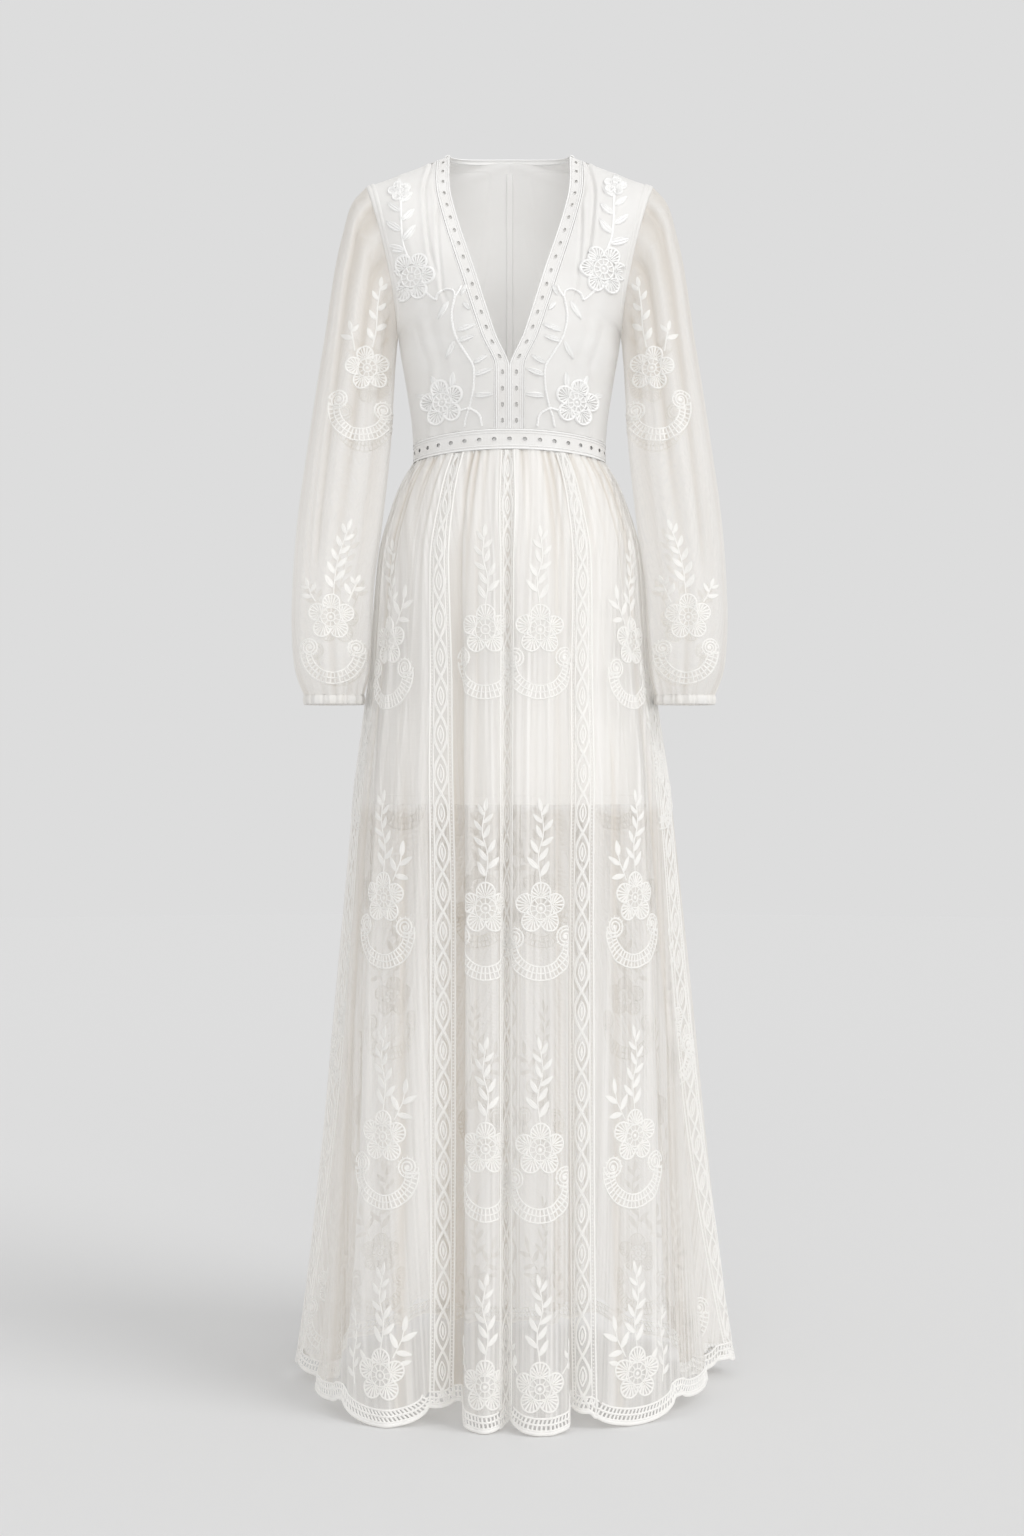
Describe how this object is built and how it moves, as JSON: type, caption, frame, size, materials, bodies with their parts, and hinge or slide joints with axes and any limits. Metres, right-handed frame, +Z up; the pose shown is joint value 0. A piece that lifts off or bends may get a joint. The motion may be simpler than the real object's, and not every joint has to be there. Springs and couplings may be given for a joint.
{
  "type": "evening gown",
  "caption": "Long-sleeved V-neck evening gown of sheer embroidered mesh over a short slip, with lace insertion bands and a scalloped hem, filled out as if worn.",
  "frame": {"origin": "middle of the line between the neck ends of the two shoulder seams, where the wearer's shoulders carry the gown", "axes": "+Z up along the body, from the hem to the shoulders; the front faces -Y; +X is the wearer's left"},
  "size_m": [0.5365, 0.5212, 1.493],
  "materials": {
    "mesh": "sheer ivory mesh with raised ivory embroidery",
    "lace": "corded ivory lace",
    "bodice": "matt ivory mesh backed with lining, corded embroidery",
    "lining": "smooth matt off-white lining",
    "trim": "ivory eyelet trim with corded edges"
  },
  "bodies": {
    "root": {"bodice_front_left": "bodice", "bodice_front_right": "bodice", "bodice_back_left": "bodice", "bodice_back_right": "bodice", "back_lining_left": "lining", "back_lining_right": "lining", "centre_back_tape": "lining", "neck_trim_left": "trim", "neck_trim_right": "trim", "back_neck_binding": "trim", "armhole_band_left": "trim", "armhole_band_right": "trim", "sleeve_left": "mesh", "sleeve_right": "mesh", "cuff_left": "trim", "cuff_right": "trim", "waistband": "trim", "slip_front": "lining", "slip_back": "lining", "band_front": "lace", "band_front_left": "lace", "band_side_left": "lace", "band_back_left": "lace", "band_back": "lace", "band_back_right": "lace", "band_side_right": "lace", "band_front_right": "lace", "mesh_front_left": "mesh", "mesh_side_front_left": "mesh", "mesh_side_back_left": "mesh", "mesh_back_left": "mesh", "mesh_back_right": "mesh", "mesh_side_back_right": "mesh", "mesh_side_front_right": "mesh", "mesh_front_right": "mesh"}
  },
  "joints": []
}
